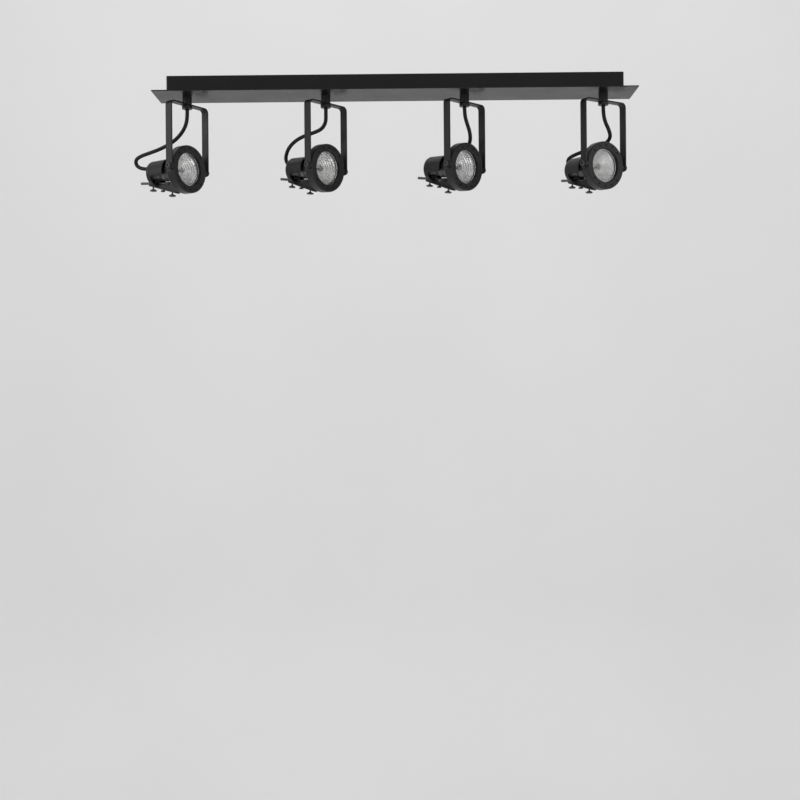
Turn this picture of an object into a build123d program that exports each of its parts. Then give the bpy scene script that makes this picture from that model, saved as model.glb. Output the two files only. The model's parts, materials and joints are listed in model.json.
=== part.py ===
from build123d import *
import math
import os

# Four-lamp ceiling spotlight bar: a flat cover plate under a narrow ceiling
# box, with four round spotlights hung below it in U-shaped yokes.
# Millimetres. Origin: centre of the ceiling bracket's top face, which is the
# ceiling plane. +Z up, +X along the bar, -Y towards the room's front.

# ---------------------------------------------------------------- driving sizes
PLATE_L, PLATE_W, PLATE_T = 700.0, 75.0, 1.5      # cover plate
DROP = 27.0                                       # ceiling to plate underside
BOX_L, BOX_W, BOX_T = 664.0, 32.0, 1.0            # ceiling box walls
PITCH = 203.0                                     # lamp spacing
LAMP_X = [-1.5 * PITCH, -0.5 * PITCH, 0.5 * PITCH, 1.5 * PITCH]
PAN = [57.0, 50.0, 45.5, 33.0]                    # head direction at rest, deg
TILT = [0.0, 4.0, 4.5, 2.0]                       # head down-tilt at rest, deg

BR_L, BR_W, BR_T = 661.0, 24.0, 1.5               # ceiling bracket strip
BR_TAB = 15.0                                     # its folded end tabs
SLOT_X, SLOT_R, SLOT_L = 200.0, 2.25, 12.0        # ceiling screw slots

NIP_R, NIP_BORE = 5.0, 3.0                        # M10 hollow stem
NIP_TOP = -20.0
SLEEVE_R = 6.8                                    # sleeve over the stem
YOKE_TOP = -38.0                                  # yoke strip's top face
YOKE_W, YOKE_T, YOKE_S = 78.5, 2.0, 11.4          # outer width, thickness, strip
YOKE_BEND = 7.0                                   # outer bend radius
PIVOT_Z = -133.0                                  # tilt axis
GAP = 0.3                                         # side clearance of moving pieces
RUN = 0.05                                        # radial running clearance

COLLAR_R, COLLAR_BOT = 7.6, -45.0
CABLE_R = 2.8                                     # lamp cable, 5.6 mm

RING_R, RING_IN = 34.8, 24.3                      # front ring
RING_F, RING_B = 4.5, -9.5                        # its front and back along the axis
SEAT_R = 25.4                                     # lamp seat behind the lip
LIP_B = -0.5
FLAT_S = 34.0                                     # pivot flats on the ring's sides
HOLE_R, HOLE_PCR = 1.35, 29.7                     # vent holes in the ring face

HOUS_R, HOUS_RB, HOUS_T = 19.2, 18.7, 1.4         # rear housing, front and rear
HOUS_F, HOUS_B = -34.0, -68.0
CUT_B, CUT_H = -60.0, 6.0                         # open underside
ROD_R = 2.0                                       # guide rod
ROD_A0, ROD_H0, ROD_A1, ROD_H1 = -94.0, 11.2, -40.0, 16.4
BRK_W, BRK_T, WEB_T = 12.0, 2.0, 3.0              # bottom bracket
FL_A0, FL_H0, FL_A1, FL_H1 = -72.4, 15.85, -19.4, 31.75   # flange's top line
TH_REAR_A, TH_FRONT_A = -69.5, -31.0              # thumb screws


# ---------------------------------------------------------------- helpers
def cyl(r, z0, z1, x=0.0, y=0.0):
    return Pos(x, y, (z0 + z1) / 2) * Cylinder(r, abs(z1 - z0))


def tube(ro, ri, z0, z1, x=0.0, y=0.0):
    return cyl(ro, z0, z1, x, y) - cyl(ri, min(z0, z1) - 1, max(z0, z1) + 1, x, y)


def block(x0, x1, y0, y1, z0, z1):
    return Pos((x0 + x1) / 2, (y0 + y1) / 2, (z0 + z1) / 2) * Box(
        abs(x1 - x0), abs(y1 - y0), abs(z1 - z0))


def solids_of(items):
    out = []
    for it in items:
        out += list(it.solids())
    return out


def write(name, items):
    sol = solids_of(items)
    shape = sol[0] if len(sol) == 1 else Compound(children=sol)
    shape.label = name
    export_step(shape, "parts/" + name + ".step")


# head frame: the lamp looks along local -Y, its yoke's left arm is at local -X.
# a = distance forward of the pivot, s = towards the left arm, h = downwards.
def spin(profile):
    """Turn a closed (a, r) outline about the lamp axis."""
    face = make_face(Polyline(*[(r, -a, 0) for a, r in profile], close=True))
    return revolve(face, axis=Axis.Y, revolution_arc=360)


def acyl(r, a0, a1, s=0.0, h=0.0):
    return Pos(-s, -(a0 + a1) / 2, -h) * Rot(90, 0, 0) * Cylinder(r, abs(a1 - a0))


def scyl(r, s0, s1, a=0.0, h=0.0):
    return Pos(-(s0 + s1) / 2, -a, -h) * Rot(0, 90, 0) * Cylinder(r, abs(s1 - s0))


def ablock(a0, a1, s0, s1, h0, h1):
    return block(-s0, -s1, -a0, -a1, -h0, -h1)


def plate_from(pts, s0, s1):
    """Flat piece from an outline of (a, h) points, between s0 and s1."""
    wire = Polyline(*[(0, -a, -h) for a, h in pts], close=True)
    face = make_face(wire)
    solid = extrude(face, amount=s1 - s0, dir=(-1, 0, 0))
    return Pos(-s0, 0, 0) * solid


def place_pan(i, shape):
    return Pos(LAMP_X[i], 0, 0) * Rot(0, 0, PAN[i]) * shape


def place_head(i, shape):
    return Pos(LAMP_X[i], 0, PIVOT_Z) * Rot(0, 0, PAN[i]) * Rot(TILT[i], 0, 0) * shape


def head_point(i, a, s, h):
    """Point of the head, in the part's frame."""
    p, t = math.radians(PAN[i]), math.radians(TILT[i])
    x, y, z = -s, -a, -h
    y, z = y * math.cos(t) - z * math.sin(t), y * math.sin(t) + z * math.cos(t)
    x, y = x * math.cos(p) - y * math.sin(p), x * math.sin(p) + y * math.cos(p)
    return (LAMP_X[i] + x, y, PIVOT_Z + z)


def route_radii(pts):
    """An arc at each corner: 0.45 of the shorter run over tan(half the turn)."""
    radii = []
    for j in range(1, len(pts) - 1):
        a = Vector(*pts[j]) - Vector(*pts[j - 1])
        b = Vector(*pts[j + 1]) - Vector(*pts[j])
        turn = math.radians(a.get_angle(b))
        radii.append(0.45 * min(a.length, b.length) / math.tan(turn / 2))
    return radii


def cord(pts, r, name=""):
    radii = route_radii(pts)
    path = FilletPolyline(*pts, radius=radii)
    solid = sweep(sections=Plane(origin=path @ 0, z_dir=path % 0) * Circle(r), path=path)
    vol = math.pi * r * r * path.length
    if name:
        runs = [(Vector(*pts[j + 1]) - Vector(*pts[j])).length for j in range(len(pts) - 1)]
        turns = [(Vector(*pts[j]) - Vector(*pts[j - 1])).get_angle(
            Vector(*pts[j + 1]) - Vector(*pts[j])) for j in range(1, len(pts) - 1)]
        print(name, "length %.1f" % path.length, "volume ratio %.4f" % (solid.volume / vol),
              "radii", [round(q, 1) for q in radii], "runs", [round(q, 1) for q in runs],
              "turns", [round(q) for q in turns])
    return solid


# ---------------------------------------------------------------- lamp cables
# Each cable leaves its collar straight down, bows over behind the yoke and
# comes round to the back of its lamp housing. Points in the part's frame.
BOSS_A = -71.0                                    # cable boss on the housing's back
BOSS_H = -9.0


ROUTE_MID = [
    # lamp 1
    [(-304.5, 0.3, -56.0), (-307.0, 3.2, -67.0), (-313.5, 8.0, -77.0),
     (-324.5, 14.5, -86.6), (-338.5, 22.3, -93.2), (-353.0, 29.7, -97.9),
     (-367.5, 36.7, -101.1), (-381.0, 43.3, -103.9), (-389.8, 47.9, -107.6),
     (-391.6, 50.1, -112.9), (-389.3, 50.7, -118.4), (-382.3, 48.7, -122.2)],
    # lamp 2
    [(-101.4, 0.5, -56.0), (-102.0, 3.0, -65.5), (-107.4, 8.0, -73.3),
     (-117.0, 14.8, -76.6), (-129.0, 21.8, -78.8), (-141.3, 29.5, -81.8),
     (-152.5, 37.8, -87.0), (-160.5, 44.6, -94.3), (-164.2, 48.8, -101.6),
     (-165.8, 51.7, -108.6), (-164.2, 51.8, -114.5)],
    # lamp 3
    [(101.5, 0.4, -56.0), (104.8, 3.8, -67.8), (109.2, 8.5, -78.8), (111.0, 16.5, -90.3),
     (107.0, 28.5, -100.3), (98.0, 41.0, -106.3), (86.0, 52.5, -110.5),
     (73.5, 61.0, -113.2), (63.5, 65.5, -114.9), (54.2, 64.9, -116.3),
     (47.8, 60.2, -117.3)],
    # lamp 4
    [(304.3, 0.4, -55.5), (307.6, 4.5, -68.0), (313.6, 8.8, -78.0), (317.6, 15.0, -88.3),
     (312.5, 24.5, -95.3), (303.2, 34.0, -98.2), (292.0, 42.5, -100.0),
     (279.8, 51.3, -102.8), (268.5, 60.0, -106.2), (262.8, 64.6, -109.1),
     (260.9, 66.7, -113.1), (261.3, 66.3, -118.0)],
]
EXIT_RUN = [8.5, 6.0, 6.0, 5.0]                     # straight run out of each boss


def cable_route(i):
    start = (LAMP_X[i], 0.0, COLLAR_BOT + 1.5)
    return ([start] + ROUTE_MID[i] + [head_point(i, BOSS_A - EXIT_RUN[i], 0, BOSS_H),
                                      head_point(i, BOSS_A, 0, BOSS_H)])


# ---------------------------------------------------------------- base pieces
def make_base():
    zp0, zp1 = -DROP, -DROP + PLATE_T
    plate = block(-PLATE_L / 2, PLATE_L / 2, -PLATE_W / 2, PLATE_W / 2, zp0, zp1)
    plate = fillet(plate.edges().filter_by(Axis.Z), 1.2)
    plate = fillet(plate.edges().group_by(Axis.Z)[0], 0.35)
    for x in LAMP_X:
        plate -= cyl(NIP_R + RUN, zp0 - 1, zp1 + 1, x)
    write("cover_plate", [plate])

    hx, hy = BOX_L / 2, BOX_W / 2
    box = block(-hx, hx, -hy, hy, zp1, 0)
    box = fillet(box.edges().filter_by(Axis.Z), 2.0)
    box -= block(-hx + BOX_T, hx - BOX_T, -hy + BOX_T, hy - BOX_T, zp1 - 1, 1)
    for sx in (-1, 1):
        box -= Pos(sx * hx, 0, -8) * Rot(0, 90, 0) * Cylinder(1.65, 8)
    write("canopy_box", [box])

    # ceiling bracket: flat strip with an end tab folded down at each end
    bx = BR_L / 2
    br = block(-bx, bx, -BR_W / 2, BR_W / 2, -BR_T, 0)
    for sx in (-1, 1):
        br += block(sx * bx, sx * (bx - BR_T), -BR_W / 2, BR_W / 2, -BR_TAB, 0)
        br -= Pos(sx * bx, 0, -8) * Rot(0, 90, 0) * Cylinder(1.55, 8)
        slot = Pos(sx * SLOT_X, 0, -BR_T / 2) * extrude(
            SlotOverall(SLOT_L, 2 * SLOT_R), amount=4, both=True)
        br -= slot
    br -= cyl(8.0, -4, 2, 62.0)                   # supply cable entry
    for x in (-7.0, 7.0):
        br -= cyl(1.3, -4, 2, x)                  # terminal block fixing
    br -= cyl(1.6, -4, 2, -34.0)                  # earth screw
    write("ceiling_bracket", [br])

    # cover screws through the box's ends into the bracket's tabs
    scr = []
    for sx in (-1, 1):
        shank = Pos(sx * (hx - 2.4), 0, -8) * Rot(0, 90, 0) * Cylinder(1.5, 7.0)
        head = Pos(sx * (hx + 1.1 + 0.0), 0, -8) * Rot(0, 90, 0) * Cylinder(3.4, 2.2)
        head = fillet(head.edges().group_by(Axis.X)[-1 if sx > 0 else 0], 0.9)
        slot = Pos(sx * (hx + 2.0), 0, -8) * Box(1.0, 5.0, 0.8)
        scr.append(shank + head - slot)
    write("cover_screws", scr)

    # terminal block under the bracket, three poles
    tb = block(-13, 13, -14.0, 14.0, -BR_T - 4.0, -BR_T)
    tb = tb - cyl(1.35, -8, 0, -7.0) - cyl(1.35, -8, 0, 7.0)
    for y in (-9.0, 0.0, 9.0):
        tower = block(-9.5, 9.5, y - 3.9, y + 3.9, -BR_T - 12.5, -BR_T - 4.0)
        tower = tower - (Pos(0, y, -BR_T - 7.5) * Rot(0, 90, 0) * Cylinder(1.7, 40))
        for x in (-5.0, 5.0):
            tower -= cyl(1.5, -BR_T - 13, -BR_T - 8.0, x, y)
        tb += tower
    for x in (-7.0, 7.0):
        tb -= cyl(2.6, -BR_T - 13, -BR_T - 4.0, x, -4.5)
        tb -= cyl(2.6, -BR_T - 13, -BR_T - 4.0, x, 4.5)
    write("terminal_block", [tb])

    ts = []
    for y in (-9.0, 0.0, 9.0):
        for x in (-5.0, 5.0):
            s = cyl(1.4, -BR_T - 11.6, -BR_T - 9.3, x, y)
            s -= Pos(x, y, -BR_T - 11.6) * Box(3.0, 0.5, 1.0)
            ts.append(s)
    # earth screw with its nut, clear of the block
    ts.append(cyl(1.5, -7.5, -BR_T - 0.0, -34.0) + cyl(3.2, -BR_T - 2.2, -BR_T, -34.0))
    write("terminal_screws", ts)

    # stems: threaded tubes through plate, sleeve, yoke and collar
    nip, nut, slv, col = [], [], [], []
    for x in LAMP_X:
        nip.append(tube(NIP_R, NIP_BORE, COLLAR_BOT + 1.6, NIP_TOP, x))
        hexa = Pos(x, 0, zp1) * extrude(RegularPolygon(8.1, 6), amount=3.4)
        hexa -= cyl(NIP_R + RUN, zp1 - 1, 0, x)
        nut.append(hexa)
        s = tube(SLEEVE_R, NIP_R + RUN, YOKE_TOP + GAP, zp0, x)
        s = chamfer(s.edges().filter_by(GeomType.CIRCLE).group_by(Axis.Z)[0]
                    .sort_by(SortBy.RADIUS)[-1], 0.5)
        slv.append(s)
        c = cyl(COLLAR_R, COLLAR_BOT, YOKE_TOP - YOKE_T - GAP, x)
        c = fillet(c.edges().group_by(Axis.Z)[0], 1.0)
        c = fillet(c.edges().group_by(Axis.Z)[-1], 0.5)
        c -= cyl(NIP_R + RUN, COLLAR_BOT + 1.5, 0, x)
        c -= cyl(CABLE_R + 0.1, COLLAR_BOT - 1, COLLAR_BOT + 2, x)
        col.append(c)
    write("stem_tubes", nip)
    write("stem_nuts", nut)
    write("stem_sleeves", slv)
    write("stem_collars", col)

    # inner wiring: brown and blue cores from the block to each stem
    leads = []
    for i, x in enumerate(LAMP_X):
        sx = -1 if x < 0 else 1
        for k, (y0, y1) in enumerate(((9.0, 1.35), (-9.0, -1.35))):
            far = abs(x) > 200
            lane = y0 * (1.0 if far else 0.72)
            zl = -10.5 - (3.4 if far else 0.0)
            n = 6 if far else 2
            pts = [(sx * 9.6, y0, -BR_T - 7.5)]
            x0, x1 = sx * 26.0, x - sx * 16.0
            for j in range(n + 1):
                t = j / n
                wob = (0.9 if j % 2 else -0.7) * (1 if k else -1)
                pts.append((x0 + (x1 - x0) * t, lane + wob, zl + (0.5 if j % 2 else -0.4)))
            pts.append((x, y1, zl + 0.2))
            pts.append((x, y1, -30.0))
            leads.append(cord(pts, 0.85))
    write("inner_leads", leads)


# ---------------------------------------------------------------- one lamp
def make_yoke():
    hw = YOKE_W / 2
    zt = YOKE_TOP
    zb = PIVOT_Z - YOKE_S / 2
    outer = block(-hw, hw, -YOKE_S / 2, YOKE_S / 2, zb, zt)
    ed = outer.edges().filter_by(Axis.Y).group_by(Axis.Z)[-1]
    outer = fillet(ed, YOKE_BEND)
    inner = block(-hw + YOKE_T, hw - YOKE_T, -YOKE_S, YOKE_S, zb - 5, zt - YOKE_T)
    ed = inner.edges().filter_by(Axis.Y).group_by(Axis.Z)[-1]
    inner = fillet(ed, YOKE_BEND - YOKE_T)
    u = outer - inner
    # rounded arm ends
    keep = block(-hw - 1, hw + 1, -YOKE_S, YOKE_S, PIVOT_Z, zt + 1)
    keep += Pos(0, 0, PIVOT_Z) * Rot(0, 90, 0) * Cylinder(YOKE_S / 2, YOKE_W + 2)
    u = u & keep
    u -= cyl(NIP_R + RUN, zt - 5, zt + 1)
    u -= Pos(0, 0, PIVOT_Z) * Rot(0, 90, 0) * Cylinder(2.0 + RUN, YOKE_W + 2)
    return u


def make_ring():
    prof = [(RING_F - 0.8, RING_IN), (RING_F, RING_IN + 0.8), (RING_F, RING_R - 1.4),
            (RING_F - 0.4, RING_R - 0.4), (RING_F - 1.4, RING_R), (RING_B + 1.0, RING_R),
            (RING_B, RING_R - 1.0), (RING_B, SEAT_R), (LIP_B, SEAT_R), (LIP_B, RING_IN)]
    ring = spin(prof)
    for s in (-1, 1):
        ring -= ablock(-10, 10, s * FLAT_S, s * (FLAT_S + 3), -12, 12)
        ring -= scyl(2.02, s * 29.0, s * (FLAT_S + 1))
    for k in range(-2, 3):
        for top in (-1, 1):
            q = math.radians(24.0 * k)
            ring -= acyl(HOLE_R, -12, 8, HOLE_PCR * math.sin(q), top * HOLE_PCR * math.cos(q))
    return ring


def make_pivots():
    hw = YOKE_W / 2
    out = []
    for s in (-1, 1):
        shank = scyl(2.0, s * 29.5, s * (hw + GAP + 0.1))
        head = scyl(4.6, s * (hw + GAP), s * (hw + GAP + 2.9))
        fe = head.edges().group_by(Axis.X)[0 if s > 0 else -1]
        head = fillet(fe, 1.3)
        rec = Pos(-s * (hw + GAP + 2.9), 0, 0) * Rot(0, 90, 0) * extrude(
            RegularPolygon(1.9, 6), amount=1.4, both=True)
        out.append(shank + head - rec)
        spacer = scyl(4.2, s * FLAT_S, s * (hw - YOKE_T - GAP)) - scyl(
            2.03, s * 30, s * 42)
        out.append(spacer)
    return out


def make_bulb():
    prof = [(-0.6, 23.6), (-0.6, 24.9), (-4.4, 24.9), (-5.2, 24.3), (-8.0, 23.6),
            (-14.0, 21.6), (-20.0, 19.0), (-26.0, 16.6), (-33.0, 14.6), (-36.0, 14.0),
            (-43.0, 13.4), (-45.5, 12.2), (-45.5, 0.0), (-3.0, 0.0), (-3.0, 23.6)]
    b = spin(prof)
    for s in (-5.0, 5.0):
        b += acyl(1.1, -50.5, -45.0, s)
        b += acyl(2.2, -52.5, -50.5, s)
    return b


def make_lens():
    prof = [(-0.9, 0.0), (-0.9, 22.9), (-1.3, 23.3), (-3.0, 23.3), (-3.0, 0.0)]
    return spin(prof)


def make_housing():
    ro, rb, t = HOUS_R, HOUS_RB, HOUS_T
    f, b = HOUS_F, HOUS_B
    prof = [(f, ro - t), (f, ro + 0.5), (f - 1.6, ro + 0.5), (f - 1.6, ro - 0.1),
            (b + 3.0, rb), (b + 1.0, rb - 0.8), (b, rb - 2.6), (b, 0.0), (b + 2.0, 0.0),
            (b + 2.0, rb - t - 1.2), (b + 3.2, rb - t)]
    h = spin(prof)
    # open underside ahead of the rear wall, with rounded rear corners
    cut = ablock(CUT_B, f + 2, -25, 25, CUT_H, 30)
    cut = fillet(cut.edges().filter_by(Axis.X).group_by(Axis.Z)[-1].sort_by(Axis.Y)[-1], 5.0)
    h -= cut
    # its underside is planed off along the bracket's flange
    h -= plate_from([(-85.0, flange_h(-85.0)), (f + 2, flange_h(f + 2)), (f + 2, 60.0),
                     (-85.0, 60.0)], -25, 25)
    # rear foot that the rod and the bracket fix to
    h += plate_from([(FL_A0, 10.2), (CUT_B, 10.2), (CUT_B, flange_h(CUT_B)),
                     (FL_A0, FL_H0)], -BRK_W / 2, BRK_W / 2)
    # cable boss on the back
    boss = acyl(4.6, BOSS_A, b + 0.5, 0, BOSS_H)
    boss = fillet(boss.edges().group_by(Axis.Y)[-1], 0.8)
    h += boss
    h -= rod_shape(ROD_R + 0.02)
    h -= Pos(0, -TH_REAR_A, -(16.0 + 10.0)) * Cylinder(1.1 + RUN, 20.0)
    return h


def flange_h(a):
    """Height of the flange's top face below the lamp axis."""
    return FL_H0 + (FL_H1 - FL_H0) * (a - FL_A0) / (FL_A1 - FL_A0)


def rod_shape(r, shorten=0.0):
    p0 = Vector(0, -ROD_A0, -ROD_H0)
    p1 = Vector(0, -ROD_A1, -ROD_H1)
    d = (p1 - p0).normalized()
    ln = (p1 - p0).length
    return Plane(origin=p0, z_dir=d) * Pos(0, 0, ln / 2) * Cylinder(r, ln)


def make_rod():
    r = rod_shape(ROD_R)
    r = fillet(r.edges().group_by(Axis.Y)[-1], 0.6)
    return r


def make_bracket():
    # inclined flange under the housing's foot, rising away from the axis
    a0, h0, a1, h1 = FL_A0, FL_H0, FL_A1, FL_H1
    ux, uh = a1 - a0, h1 - h0
    ln = math.hypot(ux, uh)
    nx, nh = -uh / ln, ux / ln                    # unit normal, downwards
    pts = [(a0, h0), (a1, h1), (a1 + nx * BRK_T, h1 + nh * BRK_T),
           (a0 + nx * BRK_T, h0 + nh * BRK_T)]
    fl = plate_from(pts, -BRK_W / 2, BRK_W / 2)
    fl = fillet(fl.edges().filter_by(Axis.Z, tolerance=0.001) if False else
                [e for e in fl.edges() if e.length < BRK_T + 0.01 and
                 abs(abs(e.center().X) - BRK_W / 2) < 0.01 and e.center().Y < 25], 4.0)
    # web between the rod and the flange, with a foot against the ring
    web = plate_from([(-60.0, 19.0), (-59.0, 18.2), (-41.0, 18.0), (-33.0, 17.6),
                      (-22.0, 20.6), (-14.5, 24.6), (-11.4, 26.2), (RING_B, 27.2),
                      (RING_B, 32.8), (-19.8, 32.6), (-59.0, 20.6)],
                     -WEB_T / 2, WEB_T / 2)
    br = fl + web + ablock(RING_B, RING_B - 2.0, -BRK_W / 2, BRK_W / 2, 26.4, 33.2)
    # socket for the rod's front end
    br += ablock(-43.0, -36.0, -2.6, 2.6, 14.5, 19.5)
    br -= rod_shape(ROD_R + 0.02)
    br -= spin([(-3.0, 0), (-3.0, 25.5), (-5.2, 24.9), (-8.0, 24.2), (-14.0, 22.2),
                (-20.0, 19.6), (-26.0, 17.2), (-33.0, 15.2), (-36.0, 14.6), (-43.0, 14.0),
                (-43.0, 0)])
    br -= Pos(0, -TH_REAR_A, -30) * Cylinder(1.1 + RUN, 40.0)
    br -= Pos(0, -TH_FRONT_A, -(21.0 + 20.0)) * Cylinder(1.1 + RUN, 40.0)
    # small fixing screw between the two thumb screws
    am = -50.0
    hm = flange_h(am) + 3.1
    br -= Pos(0, -am, -(hm + 10 - 4.2)) * Cylinder(1.02, 20.0)
    screw = Pos(0, -am, -(hm + 10 - 4.2 - 7.4)) * Cylinder(1.0, 5.2)
    head = Pos(0, -am, -(hm + 1.4)) * Cylinder(3.3, 2.0)
    head = fillet(head.edges().group_by(Axis.Z)[0], 0.8)
    return [br, screw + head]


def make_thumb(a, top, seat):
    """Mushroom-headed thumb screw, stem up along the head's own vertical."""
    prof = [(0.0, -seat - 6.5), (4.1, -seat - 6.5), (5.2, -seat - 5.7), (5.2, -seat - 4.7),
            (3.6, -seat - 3.9), (2.2, -seat - 3.2), (1.1, -seat - 2.4), (1.1, -top), (0.0, -top)]
    face = make_face(Polyline(*[(r, 0, z) for r, z in prof], close=True))
    s = revolve(face, axis=Axis.Z, revolution_arc=360)
    for k in range(12):
        q = math.radians(30 * k)
        s -= Pos(5.8 * math.cos(q), 5.8 * math.sin(q), -seat - 5.2) * Cylinder(0.9, 4)
    return Pos(0, -a, 0) * s


def make_socket():
    s = acyl(13.4, -64.5, -46.2)
    s = chamfer(s.edges().group_by(Axis.Y)[0], 0.8)
    for p in (-5.0, 5.0):
        s -= acyl(2.4, -54.0, -45.0, p)
    s -= ablock(-66, -45, -30, 30, 9.6, 20)
    s += acyl(9.0, -66.0, -64.0)
    s -= ablock(-67, -45, -30, 30, 8.4, 20)
    return s


def main():
    os.makedirs("parts", exist_ok=True)
    make_base()
    yoke, ring, piv = make_yoke(), make_ring(), make_pivots()
    bulb, lens, hous = make_bulb(), make_lens(), make_housing()
    rod, brk, sock = make_rod(), make_bracket(), make_socket()
    th_f = make_thumb(TH_FRONT_A, 22.5, 30.4)
    th_r = make_thumb(TH_REAR_A, 16.2, 19.0)
    for i in range(4):
        n = "_%d" % (i + 1)
        write("yoke" + n, [place_pan(i, yoke)])
        write("front_ring" + n, [place_head(i, ring)])
        write("pivot_screws" + n, [place_head(i, p) for p in piv])
        write("lamp_bulb" + n, [place_head(i, bulb)])
        write("lamp_lens" + n, [place_head(i, lens)])
        write("rear_housing" + n, [place_head(i, hous)])
        write("lamp_socket" + n, [place_head(i, sock)])
        write("guide_rod" + n, [place_head(i, rod)])
        write("bottom_bracket" + n, [place_head(i, b) for b in brk])
        write("thumb_screw_front" + n, [place_head(i, th_f)])
        write("thumb_screw_rear" + n, [place_head(i, th_r)])
        write("lamp_cable" + n, [cord(cable_route(i), CABLE_R, "lamp_cable" + n)])


if __name__ == "__main__":
    main()
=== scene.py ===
import bpy
import bmesh
import json
import math
from mathutils import Vector, Matrix
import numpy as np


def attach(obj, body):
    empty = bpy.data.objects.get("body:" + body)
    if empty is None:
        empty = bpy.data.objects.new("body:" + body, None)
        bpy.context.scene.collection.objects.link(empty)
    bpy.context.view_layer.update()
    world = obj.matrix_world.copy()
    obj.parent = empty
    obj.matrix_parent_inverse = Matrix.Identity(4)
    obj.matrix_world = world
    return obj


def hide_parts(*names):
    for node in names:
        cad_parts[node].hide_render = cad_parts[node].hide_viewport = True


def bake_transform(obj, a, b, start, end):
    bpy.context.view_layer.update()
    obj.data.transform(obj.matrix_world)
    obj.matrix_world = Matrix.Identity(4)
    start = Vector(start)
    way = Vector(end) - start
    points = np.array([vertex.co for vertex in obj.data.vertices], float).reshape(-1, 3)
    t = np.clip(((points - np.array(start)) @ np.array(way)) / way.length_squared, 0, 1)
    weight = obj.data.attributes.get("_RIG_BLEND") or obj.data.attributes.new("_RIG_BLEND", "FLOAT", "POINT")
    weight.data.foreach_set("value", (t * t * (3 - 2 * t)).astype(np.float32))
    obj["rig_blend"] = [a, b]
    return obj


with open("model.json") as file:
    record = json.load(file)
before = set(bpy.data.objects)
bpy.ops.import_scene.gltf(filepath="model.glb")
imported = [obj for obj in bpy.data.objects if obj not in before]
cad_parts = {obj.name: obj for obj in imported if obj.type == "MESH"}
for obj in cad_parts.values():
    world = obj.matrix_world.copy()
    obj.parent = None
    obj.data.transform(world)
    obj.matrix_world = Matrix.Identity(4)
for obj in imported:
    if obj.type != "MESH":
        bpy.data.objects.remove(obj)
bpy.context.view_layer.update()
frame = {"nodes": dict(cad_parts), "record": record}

sc = bpy.context.scene
sc.view_settings.view_transform = "Standard"
sc.view_settings.look = "None"
sc.view_settings.exposure = 0.0
sc.view_settings.gamma = 1.0

MM = 0.001
LAMP_X = [-304.5, -101.5, 101.5, 304.5]
PIVOT_Z = -133.0
PAN = [57.0, 50.0, 45.5, 33.0]
TILT = [0.0, 4.0, 4.5, 2.0]

# --------------------------------------------------------------------------
# camera
# --------------------------------------------------------------------------
cam_data = bpy.data.cameras.new("camera")
cam = bpy.data.objects.new("camera", cam_data)
sc.collection.objects.link(cam)
cam_data.sensor_fit = "HORIZONTAL"
cam_data.sensor_width = 36.0
cam_data.lens = 55.173
cam_data.dof.use_dof = False
cam_data.clip_start = 0.05
cam_data.clip_end = 60.0
cam.location = (0.01007, -1.79521, -0.47046)
cam.rotation_euler = (Matrix.Rotation(0.003684, 4, "Z")
                      @ Matrix.Rotation(math.radians(90.0) - 0.0016, 4, "X")
                      @ Matrix.Rotation(-0.008565, 4, "Z")).to_euler()
sc.camera = cam


# --------------------------------------------------------------------------
# materials
# --------------------------------------------------------------------------
def new_material(name):
    m = bpy.data.materials.new(name)
    m.use_nodes = True
    nt = m.node_tree
    nt.nodes.clear()
    out = nt.nodes.new("ShaderNodeOutputMaterial")
    bs = nt.nodes.new("ShaderNodeBsdfPrincipled")
    nt.links.new(bs.outputs["BSDF"], out.inputs["Surface"])
    return m, nt, bs


def noise(nt, coord, scale, detail=3.0, rough=0.55, stretch=None):
    n = nt.nodes.new("ShaderNodeTexNoise")
    n.inputs["Scale"].default_value = scale
    n.inputs["Detail"].default_value = detail
    n.inputs["Roughness"].default_value = rough
    if stretch is None:
        nt.links.new(coord, n.inputs["Vector"])
    else:
        mp = nt.nodes.new("ShaderNodeMapping")
        mp.inputs["Scale"].default_value = stretch
        nt.links.new(coord, mp.inputs["Vector"])
        nt.links.new(mp.outputs["Vector"], n.inputs["Vector"])
    return n.outputs["Fac"]


def ranged(nt, fac, lo, hi, from_lo=0.3, from_hi=0.7):
    r = nt.nodes.new("ShaderNodeMapRange")
    r.inputs["From Min"].default_value = from_lo
    r.inputs["From Max"].default_value = from_hi
    r.inputs["To Min"].default_value = lo
    r.inputs["To Max"].default_value = hi
    nt.links.new(fac, r.inputs["Value"])
    return r.outputs["Result"]


def mix_colour(nt, fac, a, b):
    m = nt.nodes.new("ShaderNodeMix")
    m.data_type = "RGBA"
    nt.links.new(fac, m.inputs["Factor"])
    for sock, v in ((m.inputs[6], a), (m.inputs[7], b)):
        if isinstance(v, tuple):
            sock.default_value = (*v[:3], 1.0)
        else:
            nt.links.new(v, sock)
    return m.outputs[2]


def math_node(nt, op, a, b=None, clamp=False):
    n = nt.nodes.new("ShaderNodeMath")
    n.operation = op
    n.use_clamp = clamp
    for i, v in enumerate((a, b)):
        if v is None:
            continue
        if isinstance(v, (int, float)):
            n.inputs[i].default_value = v
        else:
            nt.links.new(v, n.inputs[i])
    return n.outputs[0]


def edge_mask(nt, radius, coord):
    """Bright on outer edges, broken up by noise, as where a finish rubs through."""
    bv = nt.nodes.new("ShaderNodeBevel")
    bv.samples = 4
    bv.inputs["Radius"].default_value = radius
    geo = nt.nodes.new("ShaderNodeNewGeometry")
    dot = nt.nodes.new("ShaderNodeVectorMath")
    dot.operation = "DOT_PRODUCT"
    nt.links.new(bv.outputs["Normal"], dot.inputs[0])
    nt.links.new(geo.outputs["Normal"], dot.inputs[1])
    e = math_node(nt, "SUBTRACT", 1.0, dot.outputs["Value"])
    e = math_node(nt, "MULTIPLY", e, 5.0, clamp=True)
    broken = ranged(nt, noise(nt, coord, 260.0, 4.0, 0.7), 0.15, 1.0, 0.42, 0.62)
    return math_node(nt, "MULTIPLY", e, broken, clamp=True), bv


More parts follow.
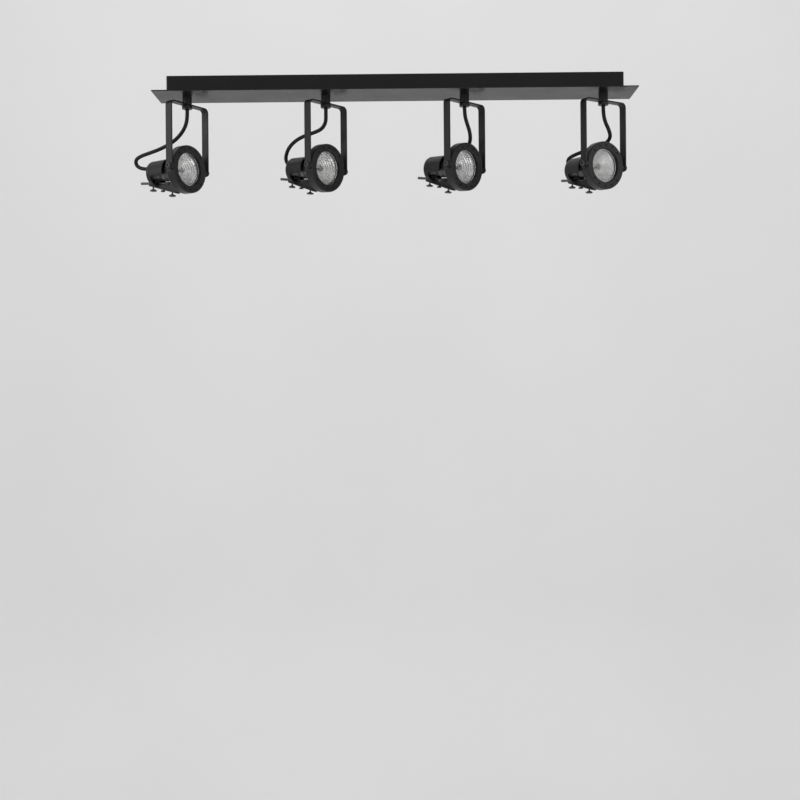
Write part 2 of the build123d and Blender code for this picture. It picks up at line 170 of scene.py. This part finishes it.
def coated(name, base, alt, worn, rough, rough_alt, peel_scale, peel, spec=0.5,
           metallic=0.0, edge=0.0005, wear_rough=0.3, coat=0.0, coat_rough=0.2,
           speck=0.0):
    """A painted or plated metal: colour drift, roughness drift, orange peel and rubbed edges."""
    m, nt, bs = new_material(name)
    tc = nt.nodes.new("ShaderNodeTexCoord")
    co = tc.outputs["Object"]
    drift = noise(nt, co, 28.0, 4.0, 0.6)
    fine = noise(nt, co, 420.0, 3.0, 0.6)
    col = mix_colour(nt, ranged(nt, drift, 0.0, 1.0), base, alt)
    mask, bv = edge_mask(nt, edge, co)
    col = mix_colour(nt, mask, col, worn)
    if speck > 0:
        dust = noise(nt, co, 1500.0, 2.0, 0.5)
        dust = ranged(nt, dust, 0.0, speck, 0.66, 0.74)
        col = mix_colour(nt, dust, col, tuple(min(1.0, 0.25 + v) for v in alt))
    nt.links.new(col, bs.inputs["Base Color"])
    r = math_node(nt, "ADD", ranged(nt, drift, rough, rough_alt),
                  ranged(nt, fine, -0.03, 0.03))
    r = math_node(nt, "SUBTRACT", r, math_node(nt, "MULTIPLY", mask, rough - wear_rough))
    nt.links.new(r, bs.inputs["Roughness"])
    bs.inputs["Metallic"].default_value = metallic
    bs.inputs["Specular IOR Level"].default_value = spec
    bs.inputs["Coat Weight"].default_value = coat
    bs.inputs["Coat Roughness"].default_value = coat_rough
    bump = nt.nodes.new("ShaderNodeBump")
    bump.inputs["Strength"].default_value = peel
    bump.inputs["Distance"].default_value = 0.00008
    nt.links.new(noise(nt, co, peel_scale, 2.0, 0.5), bump.inputs["Height"])
    nt.links.new(bv.outputs["Normal"], bump.inputs["Normal"])
    nt.links.new(bump.outputs["Normal"], bs.inputs["Normal"])
    return m


def metal(name, base, alt, rough, rough_alt, stretch, scale=60.0, grain=0.25,
          edge=0.0003, edge_colour=None):
    """Bare metal with a drawn or turned grain."""
    m, nt, bs = new_material(name)
    tc = nt.nodes.new("ShaderNodeTexCoord")
    co = tc.outputs["Object"]
    lines = noise(nt, co, scale, 4.0, 0.6, stretch)
    drift = noise(nt, co, 35.0, 3.0, 0.55)
    col = mix_colour(nt, ranged(nt, lines, 0.0, 1.0), base, alt)
    col = mix_colour(nt, ranged(nt, drift, 0.0, 0.45), col, tuple(v * 0.72 for v in base))
    mask, bv = edge_mask(nt, edge, co)
    if edge_colour:
        col = mix_colour(nt, mask, col, edge_colour)
    nt.links.new(col, bs.inputs["Base Color"])
    r = math_node(nt, "ADD", ranged(nt, lines, rough, rough_alt),
                  ranged(nt, drift, -0.04, 0.06))
    nt.links.new(r, bs.inputs["Roughness"])
    bs.inputs["Metallic"].default_value = 1.0
    bump = nt.nodes.new("ShaderNodeBump")
    bump.inputs["Strength"].default_value = grain
    bump.inputs["Distance"].default_value = 0.00005
    nt.links.new(lines, bump.inputs["Height"])
    nt.links.new(bv.outputs["Normal"], bump.inputs["Normal"])
    nt.links.new(bump.outputs["Normal"], bs.inputs["Normal"])
    return m


def moulded(name, base, alt, rough, rough_alt, grain_scale, grain, spec=0.5, edge=0.0003,
            subsurface=0.0):
    """Plastic, rubber or ceramic: a mould grain and a slight drift of colour."""
    m, nt, bs = new_material(name)
    tc = nt.nodes.new("ShaderNodeTexCoord")
    co = tc.outputs["Object"]
    drift = noise(nt, co, 45.0, 4.0, 0.6)
    fine = noise(nt, co, grain_scale, 3.0, 0.6)
    col = mix_colour(nt, ranged(nt, drift, 0.0, 1.0), base, alt)
    col = mix_colour(nt, ranged(nt, fine, 0.0, 0.5, 0.45, 0.75), col,
                     tuple(min(1.0, v * 1.5 + 0.004) for v in base))
    nt.links.new(col, bs.inputs["Base Color"])
    r = math_node(nt, "ADD", ranged(nt, drift, rough, rough_alt),
                  ranged(nt, fine, -0.05, 0.05))
    nt.links.new(r, bs.inputs["Roughness"])
    bs.inputs["Specular IOR Level"].default_value = spec
    bv = nt.nodes.new("ShaderNodeBevel")
    bv.samples = 4
    bv.inputs["Radius"].default_value = edge
    bump = nt.nodes.new("ShaderNodeBump")
    bump.inputs["Strength"].default_value = grain
    bump.inputs["Distance"].default_value = 0.0001
    nt.links.new(fine, bump.inputs["Height"])
    nt.links.new(bv.outputs["Normal"], bump.inputs["Normal"])
    nt.links.new(bump.outputs["Normal"], bs.inputs["Normal"])
    return m


MAT = {
    "black_paint": coated("black_enamel", (0.0042, 0.0042, 0.0045), (0.0058, 0.0058, 0.0061),
                          (0.026, 0.026, 0.027), 0.27, 0.33, 700.0, 0.06, spec=0.26,
                          edge=0.0006, wear_rough=0.22, speck=0.012),
    "black_satin": coated("black_powder_coat", (0.0062, 0.0062, 0.0066), (0.0092, 0.0092, 0.0096),
                          (0.042, 0.042, 0.043), 0.36, 0.44, 1500.0, 0.20, spec=0.36,
                          edge=0.00045, wear_rough=0.3, speck=0.03),
    "black_screw": coated("blackened_screw", (0.022, 0.022, 0.023), (0.040, 0.040, 0.041),
                          (0.16, 0.16, 0.162), 0.34, 0.44, 2200.0, 0.25, spec=0.5,
                          metallic=0.35, edge=0.00025, wear_rough=0.26),
    "zinc_steel": metal("zinc_plate", (0.60, 0.61, 0.62), (0.70, 0.71, 0.73), 0.30, 0.42,
                        (1.0, 22.0, 22.0), 26.0, 0.2, edge=0.0004, edge_colour=(0.8, 0.8, 0.81)),
    "terminal_plastic": moulded("terminal_polyamide", (0.74, 0.73, 0.68), (0.80, 0.79, 0.75),
                                0.38, 0.5, 900.0, 0.25, edge=0.0003),
    "brass_parts": metal("turned_brass", (0.72, 0.53, 0.24), (0.80, 0.62, 0.32), 0.22, 0.34,
                         (1.0, 1.0, 30.0), 60.0, 0.3, edge=0.0003, edge_colour=(0.9, 0.74, 0.42)),
    "lead_insulation": moulded("lead_sleeve", (0.17, 0.065, 0.026), (0.21, 0.085, 0.035),
                               0.36, 0.48, 700.0, 0.2, edge=0.0002),
    # dark grey metal for the lamp bodies, which fill the gap between ring and housing
    "bulb_aluminium": metal("lamp_aluminium", (0.115, 0.116, 0.118), (0.15, 0.151, 0.153), 0.36, 0.46,
                            (1.0, 1.0, 1.0), 300.0, 0.35, edge=0.0003,
                            edge_colour=(0.30, 0.30, 0.305)),
    "dark_ceramic": moulded("dark_ceramic", (0.045, 0.045, 0.047), (0.065, 0.064, 0.063),
                            0.58, 0.72, 1400.0, 0.5, edge=0.0005),
    "rod_steel": metal("blackened_rod", (0.10, 0.10, 0.103), (0.16, 0.16, 0.163), 0.26, 0.38,
                       (1.0, 1.0, 1.0), 400.0, 0.2, edge=0.0003, edge_colour=(0.5, 0.5, 0.5)),
    "black_cable": moulded("cable_sheath", (0.0030, 0.0030, 0.0033), (0.0046, 0.0046, 0.0049),
                           0.44, 0.54, 1600.0, 0.25, spec=0.24, edge=0.0002),
}


def glass_material():
    m, nt, bs = new_material("lamp_front_glass")
    tc = nt.nodes.new("ShaderNodeTexCoord")
    co = tc.outputs["Object"]
    bs.inputs["Base Color"].default_value = (0.985, 0.985, 0.982, 1.0)
    bs.inputs["Transmission Weight"].default_value = 1.0
    bs.inputs["IOR"].default_value = 1.46
    r = ranged(nt, noise(nt, co, 90.0, 4.0, 0.6), 0.0, 0.012)
    nt.links.new(r, bs.inputs["Roughness"])
    bump = nt.nodes.new("ShaderNodeBump")
    bump.inputs["Strength"].default_value = 0.03
    bump.inputs["Distance"].default_value = 0.00005
    nt.links.new(noise(nt, co, 260.0, 2.0, 0.5), bump.inputs["Height"])
    nt.links.new(bump.outputs["Normal"], bs.inputs["Normal"])
    return m


def mirror_material():
    m, nt, bs = new_material("reflector_silver")
    tc = nt.nodes.new("ShaderNodeTexCoord")
    co = tc.outputs["Object"]
    drift = noise(nt, co, 140.0, 4.0, 0.6)
    col = mix_colour(nt, ranged(nt, drift, 0.0, 1.0), (0.70, 0.702, 0.70), (0.90, 0.90, 0.898))
    nt.links.new(col, bs.inputs["Base Color"])
    nt.links.new(ranged(nt, drift, 0.06, 0.13), bs.inputs["Roughness"])
    bs.inputs["Metallic"].default_value = 1.0
    bump = nt.nodes.new("ShaderNodeBump")
    bump.inputs["Strength"].default_value = 0.7
    bump.inputs["Distance"].default_value = 0.0011
    nt.links.new(noise(nt, co, 210.0, 2.0, 0.5), bump.inputs["Height"])
    nt.links.new(bump.outputs["Normal"], bs.inputs["Normal"])
    return m


def capsule_material():
    m, nt, bs = new_material("capsule_quartz")
    tc = nt.nodes.new("ShaderNodeTexCoord")
    co = tc.outputs["Object"]
    bs.inputs["Base Color"].default_value = (0.96, 0.96, 0.955, 1.0)
    bs.inputs["Transmission Weight"].default_value = 0.8
    bs.inputs["IOR"].default_value = 1.46
    nt.links.new(ranged(nt, noise(nt, co, 300.0, 3.0, 0.6), 0.12, 0.32), bs.inputs["Roughness"])
    return m


MAT["lamp_glass"] = glass_material()
REFLECTOR = mirror_material()
CAPSULE = capsule_material()


def dress(obj, mat):
    obj.data.materials.clear()
    obj.data.materials.append(mat)


# every carried-over CAD node takes its slot's finish
slot_of = {s["node"] if "node" in s else s["name"]: s["material_slot"]
           for s in frame["record"]["subparts"]}
for name, obj in frame["nodes"].items():
    dress(obj, MAT[slot_of[name]])


# --------------------------------------------------------------------------
# cables: one smooth NURBS spline each through the route's points
# --------------------------------------------------------------------------
def head_matrix(i):
    p, t = math.radians(PAN[i]), math.radians(TILT[i])
    return (Matrix.Translation((LAMP_X[i] * MM, 0.0, PIVOT_Z * MM))
            @ Matrix.Rotation(p, 4, "Z") @ Matrix.Rotation(t, 4, "X"))


def head_point(i, a, s, h):
    """a forward, s towards the left arm, h down, in mm; the answer is in metres."""
    return tuple(head_matrix(i) @ Vector((-s * MM, -a * MM, -h * MM)))


CABLE_D = 0.0056
ROUTE_MID = [
    [(-304.5, 0.3, -56), (-307, 3.2, -67), (-313.5, 8, -77), (-324.5, 14.5, -86.6),
     (-338.5, 22.3, -93.2), (-353, 29.7, -97.9), (-367.5, 36.7, -101.1),
     (-381, 43.3, -103.9), (-389.8, 47.9, -107.6), (-391.6, 50.1, -112.9),
     (-389.3, 50.7, -118.4), (-382.3, 48.7, -122.2)],
    [(-101.4, 0.5, -56), (-102, 3, -65.5), (-107.4, 8, -73.3), (-117, 14.8, -76.6),
     (-129, 21.8, -78.8), (-141.3, 29.5, -81.8), (-152.5, 37.8, -87), (-160.5, 44.6, -94.3),
     (-164.2, 48.8, -101.6), (-165.8, 51.7, -108.6), (-164.2, 51.8, -114.5)],
    [(101.5, 0.4, -56), (104.8, 3.8, -67.8), (109.2, 8.5, -78.8), (111, 16.5, -90.3),
     (107, 28.5, -100.3), (98, 41, -106.3), (86, 52.5, -110.5), (73.5, 61, -113.2),
     (63.5, 65.5, -114.9), (54.2, 64.9, -116.3), (47.8, 60.2, -117.3)],
    [(304.3, 0.4, -55.5), (307.6, 4.5, -68), (313.6, 8.8, -78), (317.6, 15, -88.3),
     (312.5, 24.5, -95.3), (303.2, 34, -98.2), (292, 42.5, -100), (279.8, 51.3, -102.8),
     (268.5, 60, -106.2), (262.8, 64.6, -109.1), (260.9, 66.7, -113.1),
     (261.3, 66.3, -118)],
]
EXIT_RUN = [8.5, 6.0, 6.0, 5.0]
LEAD = [0.55, 0.55, 0.10, 0.10]      # share of each cable that stays with its yoke
KEEP = [0.05, 0.05, 0.10, 0.10]      # share that stays with its housing


def spline_points(name, route):
    cu = bpy.data.curves.new(name, "CURVE")
    cu.dimensions = "3D"
    sp = cu.splines.new("NURBS")
    sp.points.add(len(route) - 1)
    for p, co in zip(sp.points, route):
        p.co = (*co, 1.0)
    sp.order_u = 3
    sp.use_endpoint_u = True
    sp.resolution_u = 8
    ob = bpy.data.objects.new(name, cu)
    sc.collection.objects.link(ob)
    bpy.context.view_layer.update()
    me = bpy.data.meshes.new_from_object(ob)
    pts = [v.co.copy() for v in me.vertices]
    bpy.data.objects.remove(ob)
    bpy.data.meshes.remove(me)
    return pts


def tube(name, pts, radius, sides=24):
    """A closed round tube along pts, with frames carried along so that it never twists."""
    bm = bmesh.new()
    n = len(pts)
    tans = []
    for k in range(n):
        t = (pts[min(k + 1, n - 1)] - pts[max(k - 1, 0)]).normalized()
        tans.append(t)
    ref = tans[0].orthogonal().normalized()
    rings = []
    for k in range(n):
        if k:
            q = tans[k - 1].rotation_difference(tans[k])
            ref = (q @ ref).normalized()
        ref = (ref - tans[k] * ref.dot(tans[k])).normalized()
        side = tans[k].cross(ref).normalized()
        ring = []
        for j in range(sides):
            a = 2 * math.pi * j / sides
            ring.append(bm.verts.new(pts[k] + (ref * math.cos(a) + side * math.sin(a)) * radius))
        rings.append(ring)
    for k in range(n - 1):
        for j in range(sides):
            j2 = (j + 1) % sides
            bm.faces.new((rings[k][j], rings[k][j2], rings[k + 1][j2], rings[k + 1][j]))
    bm.faces.new(list(reversed(rings[0])))
    bm.faces.new(rings[-1])
    bmesh.ops.recalc_face_normals(bm, faces=bm.faces[:])
    me = bpy.data.meshes.new(name)
    bm.to_mesh(me)
    bm.free()
    for f in me.polygons:
        f.use_smooth = len(f.vertices) == 4
    ob = bpy.data.objects.new(name, me)
    sc.collection.objects.link(ob)
    return ob


def arc_weights(obj, pts, body_a, body_b, lead=0.10, keep=0.10):
    """Follows body_a at the stem, body_b at the housing, and turns along the cable's own length."""
    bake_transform(obj, body_a, body_b, start=tuple(pts[0]), end=tuple(pts[-1]))
    acc = [0.0]
    for a, b in zip(pts, pts[1:]):
        acc.append(acc[-1] + (b - a).length)
    full = acc[-1]
    att = obj.data.attributes["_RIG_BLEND"]
    for v in obj.data.vertices:
        best, where = 1e9, 0.0
        for k in range(len(pts) - 1):
            d = pts[k + 1] - pts[k]
            u = max(0.0, min(1.0, (v.co - pts[k]).dot(d) / d.length_squared))
            dist = (pts[k] + d * u - v.co).length_squared
            if dist < best:
                best, where = dist, acc[k] + d.length * u
        t = (where / full - lead) / (1 - lead - keep)
        t = max(0.0, min(1.0, t))
        att.data[v.index].value = t * t * (3 - 2 * t)


for i in range(4):
    n = i + 1
    route = [(LAMP_X[i] * MM, 0.0, -0.0435)]
    route += [tuple(c * MM for c in p) for p in ROUTE_MID[i]]
    route += [head_point(i, -71 - EXIT_RUN[i], 0, -9), head_point(i, -71, 0, -9)]
    pts = spline_points(f"route_{n}", route)
    cable = tube(f"lamp_cable_sheath_{n}", pts, CABLE_D / 2 - 0.00002)
    dress(cable, MAT["black_cable"])
    arc_weights(cable, pts, f"yoke_{n}", f"head_{n}", LEAD[i], KEEP[i])
    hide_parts(f"lamp_cable_{n}")


# --------------------------------------------------------------------------
# reflector lamps: envelope, faceted bowl, capsule, front glass
# --------------------------------------------------------------------------
def lathe(bm, profile, segs, radial=None, close_start=False, close_end=False):
    """profile is (a, r) in mm about the head axis; radial(theta, k) adds to a radius."""
    rings = []
    for k, (a, r) in enumerate(profile):
        ring = []
        for j in range(segs):
            th = 2 * math.pi * j / segs
            rr = r + (radial(th, k) if radial else 0.0)
            ring.append(bm.verts.new((rr * math.cos(th) * MM, -a * MM, rr * math.sin(th) * MM)))
        rings.append(ring)
    for k in range(len(rings) - 1):
        for j in range(segs):
            j2 = (j + 1) % segs
            bm.faces.new((rings[k][j], rings[k][j2], rings[k + 1][j2], rings[k + 1][j]))
    if close_start:
        bm.faces.new(list(reversed(rings[0])))
    if close_end:
        bm.faces.new(rings[-1])
    return rings


def finish_mesh(bm, name, matrix, mat, smooth_angle=35.0, flat=False):
    bmesh.ops.recalc_face_normals(bm, faces=bm.faces[:])
    me = bpy.data.meshes.new(name)
    bm.to_mesh(me)
    bm.free()
    me.transform(matrix)
    for f in me.polygons:
        f.use_smooth = not flat
    ob = bpy.data.objects.new(name, me)
    sc.collection.objects.link(ob)
    if not flat:
        me.set_sharp_from_angle(angle=math.radians(smooth_angle))
    dress(ob, mat)
    return ob


def envelope(name, matrix):
    """Pressed outer shell: front rim with a lip, shallow flutes down the cone, neck, base and two pins."""
    bm = bmesh.new()
    prof = [(-3.6, 22.9), (-0.9, 23.4), (-0.6, 23.7), (-0.62, 24.5), (-1.0, 24.85), (-3.9, 24.85),
            (-4.5, 24.3), (-6.0, 23.8), (-9.0, 22.9), (-12.0, 21.8), (-16.0, 20.35), (-20.0, 18.95),
            (-24.0, 17.6), (-28.0, 16.35), (-32.0, 15.1), (-35.4, 14.0), (-36.4, 13.5),
            (-37.0, 12.9), (-38.0, 12.9), (-38.6, 13.3), (-42.6, 13.3), (-43.4, 12.6),
            (-44.8, 12.3), (-45.4, 11.6)]
    flutes = 28

    def radial(th, k):
        a = prof[k][0]
        if a > -6.5 or a < -34.0:
            return 0.0
        fade = min(1.0, (-6.5 - a) / 3.0, (a + 35.4) / 3.0)
        return -0.38 * max(0.0, fade) * (0.5 + 0.5 * math.cos(flutes * th))

    lathe(bm, prof, flutes * 8, radial, close_end=True)
    # two pins stand out behind the base, each a closed turned body
    for sx in (-1, 1):
        rings = []
        for a, r in ((-45.0, 1.15), (-50.2, 1.15), (-50.4, 2.2), (-52.0, 2.2), (-52.4, 1.8)):
            ring = []
            for j in range(20):
                th = 2 * math.pi * j / 20
                ring.append(bm.verts.new(((sx * 5.0 + r * math.cos(th)) * MM, -a * MM,
                                          r * math.sin(th) * MM)))
            rings.append(ring)
        for k in range(len(rings) - 1):
            for j in range(20):
                j2 = (j + 1) % 20
                bm.faces.new((rings[k][j], rings[k][j2], rings[k + 1][j2], rings[k + 1][j]))
        bm.faces.new(list(reversed(rings[0])))
        bm.faces.new(rings[-1])
    return finish_mesh(bm, name, matrix, MAT["bulb_aluminium"])


def bowl(name, matrix):
    """Faceted reflector: rings of small dished facets, turning by half a facet each row."""
    bm = bmesh.new()
    rows, around, sub = 9, 30, 4
    a0, r0, a1, r1 = -3.7, 22.85, -27.0, 6.2
    segs = around * sub

    def rad(u):
        return r0 + (r1 - r0) * u

    def dep(u):
        # a deep bowl, steep at the rim and flatter near the neck
        r = rad(u)
        q = (r / r0) ** 2
        return a1 + (a0 - a1) * (0.15 * (r / r0) + 0.85 * q)

    rings = []
    for k in range(rows * sub + 1):
        u = k / (rows * sub)
        row, v = divmod(k, sub)
        fv = v / sub
        ring = []
        for j in range(segs):
            th = 2 * math.pi * (j / segs)
            fu = ((j / sub) + 0.5 * (row % 2)) % 1.0
            dish = 0.55 * math.sin(math.pi * fu) ** 2 * math.sin(math.pi * fv) ** 2
            r = rad(u) + dish * (0.5 + 0.5 * (1 - u))
            a = dep(u) - dish * 0.6
            ring.append(bm.verts.new((r * math.cos(th) * MM, -a * MM, r * math.sin(th) * MM)))
        rings.append(ring)
    for k in range(len(rings) - 1):
        for j in range(segs):
            j2 = (j + 1) % segs
            bm.faces.new((rings[k][j], rings[k + 1][j], rings[k + 1][j2], rings[k][j2]))
    # neck plate closes the back of the bowl, and a turned return goes behind it
    back = []
    for a, r in ((-27.0, 4.9), (-27.9, 4.9)):
        back.append([bm.verts.new((r * math.cos(2 * math.pi * j / segs) * MM, -a * MM,
                                   r * math.sin(2 * math.pi * j / segs) * MM))
                     for j in range(segs)])
    for j in range(segs):
        j2 = (j + 1) % segs
        bm.faces.new((rings[-1][j], back[0][j], back[0][j2], rings[-1][j2]))
        bm.faces.new((back[0][j], back[1][j], back[1][j2], back[0][j2]))
    bm.faces.new([back[1][j] for j in range(segs)])
    # the shell's outer side, a wall behind the facets, so that the piece is a closed body
    outer = []
    for k in range(0, 13):
        u = k / 12
        r = rad(u) + 0.55
        a = dep(u) - 0.75
        outer.append([bm.verts.new((r * math.cos(2 * math.pi * j / segs) * MM, -a * MM,
                                    r * math.sin(2 * math.pi * j / segs) * MM))
                      for j in range(segs)])
    for k in range(len(outer) - 1):
        for j in range(segs):
            j2 = (j + 1) % segs
            bm.faces.new((outer[k][j], outer[k][j2], outer[k + 1][j2], outer[k + 1][j]))
    for j in range(segs):
        j2 = (j + 1) % segs
        bm.faces.new((rings[0][j], rings[0][j2], outer[0][j2], outer[0][j]))
    bm.faces.new([outer[-1][j] for j in range(segs)])
    ob = finish_mesh(bm, name, matrix, REFLECTOR, smooth_angle=24.0)
    return ob


def capsule(name, matrix):
    """Quartz capsule with its pinched foot, rounded nose and exhaust tip."""
    bm = bmesh.new()
    prof = [(-28.2, 3.4), (-24.0, 3.4), (-22.6, 4.1), (-21.4, 4.7), (-13.6, 4.75), (-12.2, 4.5),
            (-11.0, 3.9), (-10.1, 2.9), (-9.5, 1.6), (-9.2, 0.95), (-8.3, 0.7), (-7.9, 0.35)]
    lathe(bm, prof, 40, None, close_start=True, close_end=True)
    return finish_mesh(bm, name, matrix, CAPSULE, smooth_angle=60.0)


def filament(name, matrix):
    """Support wires and a short coiled filament across the capsule."""
    bm = bmesh.new()

    def bar(points, r, sides=10):
        pts = [Vector(p) * MM for p in points]
        rings = []
        for k, p in enumerate(pts):
            t = (pts[min(k + 1, len(pts) - 1)] - pts[max(k - 1, 0)]).normalized()
            x = t.orthogonal().normalized()
            y = t.cross(x)
            rings.append([bm.verts.new(p + (x * math.cos(2 * math.pi * j / sides)
                                            + y * math.sin(2 * math.pi * j / sides)) * r * MM)
                          for j in range(sides)])
        for k in range(len(rings) - 1):
            for j in range(sides):
                j2 = (j + 1) % sides
                bm.faces.new((rings[k][j], rings[k][j2], rings[k + 1][j2], rings[k + 1][j]))
        bm.faces.new(list(reversed(rings[0])))
        bm.faces.new(rings[-1])

    for s in (-1, 1):
        bar([(s * 2.3, 27.0, 0), (s * 2.3, 20.0, 0), (s * 2.3, 16.2, 0)], 0.22)
    coil = []
    turns, per = 11, 10
    for k in range(turns * per + 1):
        u = k / (turns * per)
        th = 2 * math.pi * k / per
        coil.append((-2.3 + 4.6 * u, 16.0 + 0.75 * math.cos(th), 0.75 * math.sin(th)))
    bar(coil, 0.13, 6)
    return finish_mesh(bm, name, matrix, MAT["rod_steel"], smooth_angle=60.0)


def front_glass(name, matrix):
    """Cover glass: slightly domed pane with a rounded edge and a shallow moulded ring."""
    bm = bmesh.new()
    prof = [(-2.55, 0.0001), (-2.57, 6.0), (-2.62, 12.0), (-2.7, 17.0), (-2.82, 20.6),
            (-2.95, 22.4), (-2.9, 23.05), (-2.55, 23.25), (-1.7, 23.25), (-1.35, 23.1),
            (-1.22, 22.7), (-1.32, 21.7), (-1.38, 20.9), (-1.28, 20.1), (-1.16, 17.0),
            (-1.04, 12.0), (-0.95, 6.0), (-0.93, 0.0001)]
    lathe(bm, prof, 96)
    bmesh.ops.remove_doubles(bm, verts=bm.verts[:], dist=0.000002)
    return finish_mesh(bm, name, matrix, MAT["lamp_glass"], smooth_angle=50.0)


def clip_ring(name, matrix):
    """Knurled spring rim that holds the glass at the lamp's front edge."""
    bm = bmesh.new()
    prof = [(-0.75, 23.35), (-0.62, 23.55), (-0.62, 24.25), (-0.85, 24.5), (-1.6, 24.5),
            (-1.6, 23.35), (-0.75, 23.35)]
    teeth = 60

    def radial(th, k):
        if k in (0, 5, 6):
            return -0.22 * (0.5 + 0.5 * math.cos(teeth * th))
        return 0.0

    lathe(bm, prof, teeth * 6, radial)
    bmesh.ops.remove_doubles(bm, verts=bm.verts[:], dist=0.000001)
    return finish_mesh(bm, name, matrix, REFLECTOR, smooth_angle=40.0)


for i in range(4):
    n = i + 1
    mx = head_matrix(i)
    env = envelope(f"lamp_envelope_{n}", mx)
    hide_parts(f"lamp_bulb_{n}")
    glass = front_glass(f"lamp_front_glass_{n}", mx)
    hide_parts(f"lamp_lens_{n}")
    others = [(bowl(f"lamp_reflector_{n}", mx), "bulb_aluminium"),
              (capsule(f"lamp_capsule_{n}", mx), "lamp_glass"),
              (filament(f"lamp_filament_{n}", mx), "rod_steel"),
              (clip_ring(f"lamp_clip_ring_{n}", mx), "bulb_aluminium")]
    for ob in [env, glass] + [o for o, _ in others]:
        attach(ob, f"head_{n}")


# --------------------------------------------------------------------------
# stage: pale floor that curves up into a back wall, soft lights
# --------------------------------------------------------------------------
def stage_material():
    m, nt, bs = new_material("studio_paint")
    tc = nt.nodes.new("ShaderNodeTexCoord")
    n = noise(nt, tc.outputs["Object"], 1.2, 3.0, 0.5)
    col = mix_colour(nt, ranged(nt, n, 0.0, 1.0), (0.855, 0.855, 0.86), (0.875, 0.875, 0.88))
    nt.links.new(col, bs.inputs["Base Color"])
    bs.inputs["Roughness"].default_value = 0.9
    bs.inputs["Specular IOR Level"].default_value = 0.1
    return m


def backdrop():
    bm = bmesh.new()
    floor_z, wall_y, rad = -2.4, 4.6, 0.9
    line = [(-7.0, floor_z), (wall_y - rad, floor_z)]
    for k in range(1, 17):
        a = math.pi / 2 * k / 16
        line.append((wall_y - rad + rad * math.sin(a), floor_z + rad - rad * math.cos(a)))
    line.append((wall_y, 6.0))
    cols = []
    for x in (-9.0, 9.0):
        cols.append([bm.verts.new((x, y, z)) for y, z in line])
    for k in range(len(line) - 1):
        bm.faces.new((cols[0][k], cols[1][k], cols[1][k + 1], cols[0][k + 1]))
    me = bpy.data.meshes.new("backdrop")
    bm.to_mesh(me)
    bm.free()
    for f in me.polygons:
        f.use_smooth = True
    ob = bpy.data.objects.new("backdrop", me)
    sc.collection.objects.link(ob)
    dress(ob, stage_material())


backdrop()

world = bpy.data.worlds.new("studio")
sc.world = world
world.use_nodes = True
bg = world.node_tree.nodes["Background"]
bg.inputs["Color"].default_value = (0.745, 0.744, 0.742, 1.0)
bg.inputs["Strength"].default_value = 0.86


def area(name, loc, target, size, power, colour=(1.0, 1.0, 1.0)):
    ld = bpy.data.lights.new(name, "AREA")
    ld.shape = "RECTANGLE"
    ld.size, ld.size_y = size
    ld.energy = power
    ld.color = colour
    ob = bpy.data.objects.new(name, ld)
    sc.collection.objects.link(ob)
    ob.location = loc
    d = Vector(target) - Vector(loc)
    ob.rotation_euler = d.to_track_quat("-Z", "Y").to_euler()
    ob.visible_camera = False
    return ob


area("soft_left", (-2.6, -1.6, 0.5), (0, 0, -0.1), (1.6, 1.6), 26.0)
area("soft_right", (2.8, -1.8, 0.1), (0, 0, -0.1), (1.6, 1.6), 9.0)
area("soft_below", (0.2, -1.2, -2.2), (0, 0, -0.1), (2.4, 1.6), 9.0)
area("wall_wash", (0.0, 1.2, 3.4), (0, 4.4, -0.6), (6.0, 1.0), 42.0)
